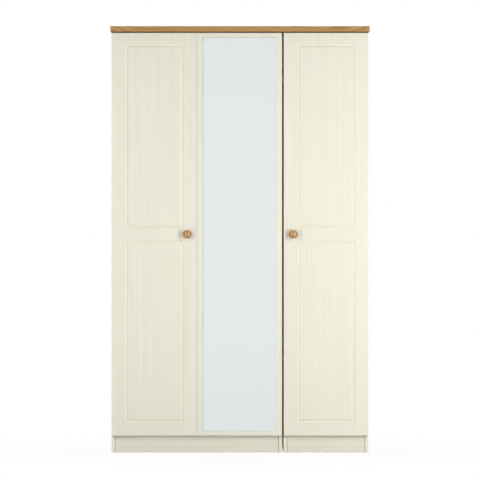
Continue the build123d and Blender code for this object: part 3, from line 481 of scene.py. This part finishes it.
def lacquered_wood(name, colours):
    """Turned wood under a thick clear lacquer, its grain across the knob."""
    finish = Finish(name)
    fibre = KNOB_FIBRE
    bands = finish.noise((9 * fibre, 6 * fibre, 45 * fibre), detail=3.0, roughness=0.6)
    fibres = finish.noise((fibre, fibre, 14 * fibre), detail=3.0, roughness=0.6)
    tone = finish.range(bands * 0.6 + fibres * 0.4, 0.28, 0.72)
    finish.surface(
        Base_Color=finish.mix(tone, colours.knob_dark, colours.knob_light),
        Roughness=0.32 + fibres * 0.12,
        Specular_IOR_Level=0.05,
        Coat_Weight=1.0,
        Coat_Roughness=LACQUER_ROUGHNESS,
        Coat_IOR=LACQUER_IOR,
        Normal=finish.relief(fibres, KNOB_RELIEF),
    )
    return finish


def silvered_glass(name, colours):
    """A mirror: silver behind the face, with faint random smudges, painted shade darkening it towards
    head and foot, and a pale ground edge.
    """
    finish = Finish(name)
    facing = finish.part(finish.place("Normal"), 1)
    edge = finish.range(facing, -0.95, -0.85)
    smudge = finish.noise(MIRROR_SMUDGE, detail=4.0, roughness=0.6)
    low, high = (corner.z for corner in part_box("mirror_glass"))
    height = finish.part(finish.place(), 2)
    # painted shade: darker towards the foot and the head of the glass, with random smudges added
    foot_shade = finish.range(height, low, low + FOOT_SHADE_REACH, FOOT_PAINTED_SHADE, 0.0)
    head_shade = finish.range(height, high - HEAD_SHADE_REACH, high, 0.0, HEAD_PAINTED_SHADE)
    smudge_and_painted_shade = foot_shade + head_shade + finish.range(smudge, start=0.015, end=0.0)
    tint = finish.mix(smudge_and_painted_shade, colours.silver, shade(colours.silver, SMUDGE_AND_SHADE_TONE))
    roughness = finish.range(edge, 0, 1, MIRROR_ROUGHNESS, MIRROR_EDGE_ROUGHNESS)
    finish.surface(
        Base_Color=finish.mix(edge, tint, colours.glass_edge),
        Metallic=1.0,
        Roughness=roughness + finish.range(smudge, 0.55, 0.8, 0.0, 0.01),
    )
    return finish


def thin_back(name, colours):
    """Hardboard: painted cream inside, with the brown mesh of its pressing outside."""
    finish = Finish(name)
    outside = finish.part(finish.place("Normal"), 1) > 0.0
    mesh_x = finish.single("SINE", finish.part(finish.place(), 0) * MESH_TURN)
    mesh_z = finish.single("SINE", finish.part(finish.place(), 2) * MESH_TURN)
    mesh = mesh_x * mesh_z * 0.5 + 0.5
    fibre = finish.noise(HARDBOARD_FIBRE, detail=4.0, roughness=0.7)
    flow = finish.noise(HARDBOARD_FLOW, detail=4.0, roughness=0.65, distortion=1.2)
    cloud = finish.noise(HARDBOARD_CLOUD, detail=3.0)
    tone = finish.range(fibre * 0.35 + mesh * 0.1 + flow * 0.25 + cloud * 0.3, 0.38, 0.62)
    brown = finish.mix(tone, shade(colours.hardboard, 0.84), shade(colours.hardboard, 1.12))
    cream = finish.mix(fibre, shade(colours.cream, 0.93), shade(colours.cream, 0.99))
    finish.surface(
        Base_Color=finish.mix(outside, cream, brown),
        Roughness=finish.range(outside, 0, 1, PAINTED_ROUGHNESS, HARDBOARD_ROUGHNESS),
        Normal=finish.relief(fibre * 0.5 + outside * mesh * 0.5, HARDBOARD_RELIEF),
    )
    return finish


def plated(name, tone, roughness, brushed):
    """Plated metal with fine marks; brushed gives the sizes of the marks along X, Y and Z."""
    finish = Finish(name)
    marks = finish.noise(brushed, detail=4.0, roughness=0.65)
    cloud = finish.noise(SMALL_CLOUD, detail=3.0)
    bright = finish.range(marks * 0.6 + cloud * 0.4)
    finish.surface(
        Base_Color=finish.mix(bright, shade(tone, 0.86), tone),
        Metallic=1.0,
        Roughness=roughness * 0.7 + marks * roughness * 0.6,
        Normal=finish.relief(marks, PLATED_RELIEF),
    )
    return finish


def bare_beech(name, colours):
    """Bare beech with its grain along the dowels."""
    finish = Finish(name)
    fibres = finish.noise(BEECH_FIBRE, detail=3.0, roughness=0.6)
    finish.surface(
        Base_Color=finish.mix(finish.range(fibres), shade(colours.beech, 0.75), colours.beech),
        Roughness=0.62 + fibres * 0.15,
        Normal=finish.relief(fibres, BEECH_RELIEF),
    )
    return finish


def moulded(name, tone, roughness, grain):
    """Moulded plastic, foam or rubber with a fine pebbled skin."""
    finish = Finish(name)
    pebble = finish.noise((grain,) * 3, detail=3.0, roughness=0.6)
    cloud = finish.noise(SMALL_CLOUD, detail=2.0)
    bright = finish.range(pebble * 0.5 + cloud * 0.5)
    finish.surface(
        Base_Color=finish.mix(bright, shade(tone, 0.94), tone),
        Roughness=roughness + pebble * 0.12,
        Normal=finish.relief(pebble, grain * PEBBLE_RELIEF),
    )
    return finish


# Groups of pieces

def named(*endings):
    """The CAD nodes whose names end in one of these words."""
    return [name for name in NODES if name.endswith(endings)]


class WARDROBE_OT_doors(Operator):
    """Finish the door boards in cream foil"""

    bl_idname = "wardrobe.doors"
    bl_label = "Finish the doors"

    def execute(self, context):
        scene = context.scene
        for name in DOORS:
            coat(cream_foil(f"{name}_foil", scene.wardrobe_colours, scene.wardrobe_sizes), [name])
        return {"FINISHED"}


class WARDROBE_OT_boards(Operator):
    """Finish the carcass boards and the thin backs"""

    bl_idname = "wardrobe.boards"
    bl_label = "Finish the carcass"

    def execute(self, context):
        colours = context.scene.wardrobe_colours
        sizes = context.scene.wardrobe_sizes
        outer = ["double_left_side", "single_right_side"]
        coat(side_board("outer_side_board", colours, sizes), outer)
        coat(side_board("double_slot_board", colours, sizes, slot_side=1), ["double_right_side"])
        coat(side_board("single_slot_board", colours, sizes, slot_side=-1), ["single_left_side"])
        level = named("_base", "_ceiling", "_hat_shelf")
        coat(cream_foil("level_board", colours, sizes, grain_axis=0, contrast=BOARD_CONTRAST), level)
        for node in named("_plinth", "_rear_rail"):
            coat(low_board(f"{node}_foil", colours, sizes, node), [node])
        coat(thin_back("thin_back", colours), named("_back"))
        return {"FINISHED"}


class WARDROBE_OT_oak_top(Operator):
    """Finish the top in oak"""

    bl_idname = "wardrobe.oak_top"
    bl_label = "Finish the oak top"

    def execute(self, context):
        coat(oak("oak", context.scene.wardrobe_colours, context.scene.wardrobe_sizes), ["oak_top"])
        return {"FINISHED"}


class WARDROBE_OT_knobs(Operator):
    """Finish the turned knobs in lacquered wood"""

    bl_idname = "wardrobe.knobs"
    bl_label = "Finish the knobs"

    def execute(self, context):
        coat(lacquered_wood("lacquered_wood", context.scene.wardrobe_colours), KNOBS)
        return {"FINISHED"}


class WARDROBE_OT_mirror(Operator):
    """Finish the mirror glass and the tape behind it"""

    bl_idname = "wardrobe.mirror"
    bl_label = "Finish the mirror"

    def execute(self, context):
        colours = context.scene.wardrobe_colours
        coat(silvered_glass("silvered_glass", colours), ["mirror_glass"])
        coat(moulded("foam_tape", colours.foam, roughness=0.8, grain=0.0009), ["mirror_tape"])
        return {"FINISHED"}


class WARDROBE_OT_hinges(Operator):
    """Finish the concealed hinges, the wall brackets, and every screw, bolt and cam lock"""

    bl_idname = "wardrobe.hinges"
    bl_label = "Finish the hinges and screws"

    def execute(self, context):
        colours = context.scene.wardrobe_colours
        nickel = plated(
            "nickel_plate", colours.nickel, roughness=0.26, brushed=(0.0008, 0.006, 0.0008)
        )
        hinges = named("_hinge_cups", "_hinge_arms", "_hinge_plates", "_hinge_pins")
        coat(nickel, hinges + ["wall_brackets"])
        zinc = plated("zinc_plate", colours.zinc, roughness=0.34, brushed=(0.001, 0.001, 0.001))
        coat(zinc, named("_screws", "_bolt", "_bolts", "_locks", "_connectors"))
        return {"FINISHED"}


class WARDROBE_OT_rails(Operator):
    """Finish the hanging rails, their sockets and the other inside fittings"""

    bl_idname = "wardrobe.rails"
    bl_label = "Finish the inside fittings"

    def execute(self, context):
        colours = context.scene.wardrobe_colours
        chrome = plated(
            "chrome_plate", colours.chrome, roughness=0.08, brushed=(0.02, 0.0006, 0.0006)
        )
        coat(chrome, named("_hanging_rail"))
        plastic = moulded("moulded_plastic", colours.plastic, roughness=0.4, grain=0.0006)
        coat(plastic, ["rail_sockets", "unit_spacers"])
        rubber = moulded("soft_rubber", colours.rubber, roughness=0.5, grain=0.0005)
        coat(rubber, ["door_buffers"])
        coat(bare_beech("bare_beech", colours), ["plinth_dowels"])
        return {"FINISHED"}


def ribbed_outline(width, depth):
    """Outline of the strip from above: ribs that reach the boards, with hollows between them."""
    right = []
    steps = STRIP_RIBS * STEPS_PER_RIB
    for step in range(steps + 1):
        share = step / steps
        rib = sin(pi * STRIP_RIBS * share) ** 2
        reach = STRIP_WAIST + (1 - STRIP_WAIST) * rib
        right.append((width / 2 * reach, depth * (share - 0.5)))
    left = [(-x, y) for x, y in reversed(right)]
    return right + left


def upright_mesh(name, outline, low, high):
    """A mesh with that outline from level to level, smooth round its sides and flat at its ends."""
    corners = [(x, y, z) for z in (low, high) for x, y in outline]
    count = len(outline)
    sides = [(n, (n + 1) % count, count + (n + 1) % count, count + n) for n in range(count)]
    ends = [tuple(reversed(range(count))), tuple(range(count, 2 * count))]
    mesh = bpy.data.meshes.new(name)
    mesh.from_pydata(corners, [], sides + ends)
    for face in mesh.polygons:
        face.use_smooth = face.index < len(sides)
    return mesh


class WARDROBE_OT_slot_strip(Operator):
    """Make the ribbed rubber strip that closes the slot between the units at the rear"""

    bl_idname = "wardrobe.slot_strip"
    bl_label = "Make the slot strip"

    def execute(self, context):
        scene = context.scene
        sizes = scene.wardrobe_sizes
        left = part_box("double_right_side")[1]
        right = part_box("single_left_side")[0]
        ribbed = ribbed_outline(right.x - left.x, sizes.strip_depth)
        across = (left.x + right.x) / 2
        along = left.y - sizes.strip_inset - sizes.strip_depth / 2
        outline = [(across + x, along + y) for x, y in ribbed]
        mesh = upright_mesh("slot_strip", outline, sizes.strip_end, left.z - sizes.strip_end)
        rubber = moulded("strip_rubber", scene.wardrobe_colours.rubber, roughness=0.5, grain=0.0005)
        mesh.materials.append(rubber.material)
        strip = bpy.data.objects.new("slot_strip", mesh)
        scene.collection.objects.link(strip)
        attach(strip, "carcass")
        return {"FINISHED"}


# Studio

def add_lamp(name, place, aim, size, energy, unlit):
    """A soft rectangular lamp that points at the aim and leaves the unlit collection out."""
    light = bpy.data.lights.new(name, "AREA")
    light.shape = "RECTANGLE"
    light.size, light.size_y = size
    light.energy = energy
    lamp = bpy.data.objects.new(name, light)
    lamp.location = place
    lamp.rotation_euler = (Vector(aim) - Vector(place)).to_track_quat("-Z", "Y").to_euler()
    lamp.light_linking.receiver_collection = unlit
    bpy.context.scene.collection.objects.link(lamp)


class WARDROBE_OT_stage(Operator):
    """Set the floor, the lamps and the camera"""

    bl_idname = "wardrobe.stage"
    bl_label = "Set the studio"

    def execute(self, context):
        scene = context.scene
        sizes = scene.wardrobe_sizes
        scene.view_settings.view_transform = "Standard"
        self.add_floor(sizes)
        self.light_world(scene)
        self.add_lamps(scene.wardrobe_studio)
        self.add_camera(scene, sizes)
        return {"FINISHED"}

    def add_floor(self, sizes):
        reach = sizes.floor_reach
        mesh = bpy.data.meshes.new("floor")
        corners = [(-reach, -reach, 0), (reach, -reach, 0), (reach, reach, 0), (-reach, reach, 0)]
        mesh.from_pydata(corners, [], [(0, 1, 2, 3)])
        floor = bpy.data.objects.new("floor", mesh)
        bpy.context.scene.collection.objects.link(floor)
        finish = Finish("floor_white")
        finish.surface(Base_Color=(FLOOR_GREY,) * 3, Roughness=FLOOR_ROUGHNESS)
        glow = finish.node("ShaderNodeEmission", inputs={"Color": (1, 1, 1), "Strength": 1.0})
        away = finish.distance(finish.place())
        white = finish.range(away, SHADE_REACH, SHADE_END, 1 - SHADE_SHARE, 1.0)
        share = finish.seen_directly() * white
        finish.show(share, Wire(finish, finish.shader.outputs[0]), glow, "Material Output")
        mesh.materials.append(finish.material)

    def light_world(self, scene):
        world = bpy.data.worlds.new("studio")
        world.use_nodes = True
        scene.world = world
        nodes = Nodes(world.node_tree)
        strength = scene.wardrobe_studio.world
        dim = nodes.node("ShaderNodeBackground", inputs={"Color": (1, 1, 1), "Strength": strength})
        white = nodes.node("ShaderNodeBackground", inputs={"Color": (1, 1, 1), "Strength": 1.0})
        nodes.show(nodes.seen_directly(), dim, white, "World Output")

    def add_lamps(self, studio):
        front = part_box("left_door")[0].y
        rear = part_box("double_left_side")[1].y
        unlit = bpy.data.collections.new("shows_no_lamps")
        unlit.objects.link(NODES["mirror_glass"])
        unlit.collection_objects[0].light_linking.link_state = "EXCLUDE"
        lamps = (
            ("right_strip", (1.54, -2.35, LAMP_HEIGHT), (0.45, front), FRONT_LAMP, studio.right),
            ("left_box", (-1.49, -2.35, LAMP_HEIGHT), (-0.45, front), FRONT_LAMP, studio.left),
            ("overhead_box", (0.0, -0.2, 4.0), (0.0, -0.2), OVERHEAD_LAMP, studio.overhead),
            ("right_side_box", (2.7, 0.5, LAMP_HEIGHT), (0.55, 0.0), SIDE_LAMP, studio.side),
            ("left_side_box", (-2.7, 0.5, LAMP_HEIGHT), (-0.55, 0.0), SIDE_LAMP, studio.side),
            ("rear_box", (0.0, 3.2, LAMP_HEIGHT), (0.0, rear), REAR_LAMP, studio.rear),
        )
        for name, place, aim, size, energy in lamps:
            add_lamp(name, place, (*aim, AIM_HEIGHT), size, energy, unlit)

    def add_camera(self, scene, sizes):
        lens = bpy.data.cameras.new("camera")
        lens.lens = lens.sensor_width * sizes.view_distance / sizes.view_width
        lens.clip_end = 2 * sizes.floor_reach
        camera = bpy.data.objects.new("camera", lens)
        camera.location = (0.0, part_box("left_door")[0].y - sizes.view_distance, sizes.view_height)
        camera.rotation_euler = (radians(90), 0, 0)
        scene.collection.objects.link(camera)
        scene.camera = camera


PIECES = (
    WARDROBE_OT_doors,
    WARDROBE_OT_boards,
    WARDROBE_OT_oak_top,
    WARDROBE_OT_knobs,
    WARDROBE_OT_mirror,
    WARDROBE_OT_hinges,
    WARDROBE_OT_rails,
    WARDROBE_OT_slot_strip,
    WARDROBE_OT_stage,
)


class WARDROBE_PT_panel(Panel):
    """Lists the steps that finish the wardrobe"""

    bl_idname = "WARDROBE_PT_panel"
    bl_label = "Wardrobe"
    bl_space_type = "VIEW_3D"
    bl_region_type = "UI"
    bl_category = "Wardrobe"

    def draw(self, context):
        for piece in PIECES:
            self.layout.operator(piece.bl_idname)
        scene = context.scene
        for group in (scene.wardrobe_colours, scene.wardrobe_sizes, scene.wardrobe_studio):
            for name in group.__annotations__:
                self.layout.prop(group, name)


CLASSES = (WardrobeColours, WardrobeSizes, WardrobeStudio) + PIECES + (WARDROBE_PT_panel,)


def register():
    for cls in CLASSES:
        bpy.utils.register_class(cls)
    bpy.types.Scene.wardrobe_colours = PointerProperty(type=WardrobeColours)
    bpy.types.Scene.wardrobe_sizes = PointerProperty(type=WardrobeSizes)
    bpy.types.Scene.wardrobe_studio = PointerProperty(type=WardrobeStudio)


def unregister():
    del bpy.types.Scene.wardrobe_colours
    del bpy.types.Scene.wardrobe_sizes
    del bpy.types.Scene.wardrobe_studio
    for cls in reversed(CLASSES):
        bpy.utils.unregister_class(cls)


def main():
    register()
    bpy.ops.wardrobe.doors()
    bpy.ops.wardrobe.boards()
    bpy.ops.wardrobe.oak_top()
    bpy.ops.wardrobe.knobs()
    bpy.ops.wardrobe.mirror()
    bpy.ops.wardrobe.hinges()
    bpy.ops.wardrobe.rails()
    bpy.ops.wardrobe.slot_strip()
    bpy.ops.wardrobe.stage()


if __name__ == "__main__":
    main()
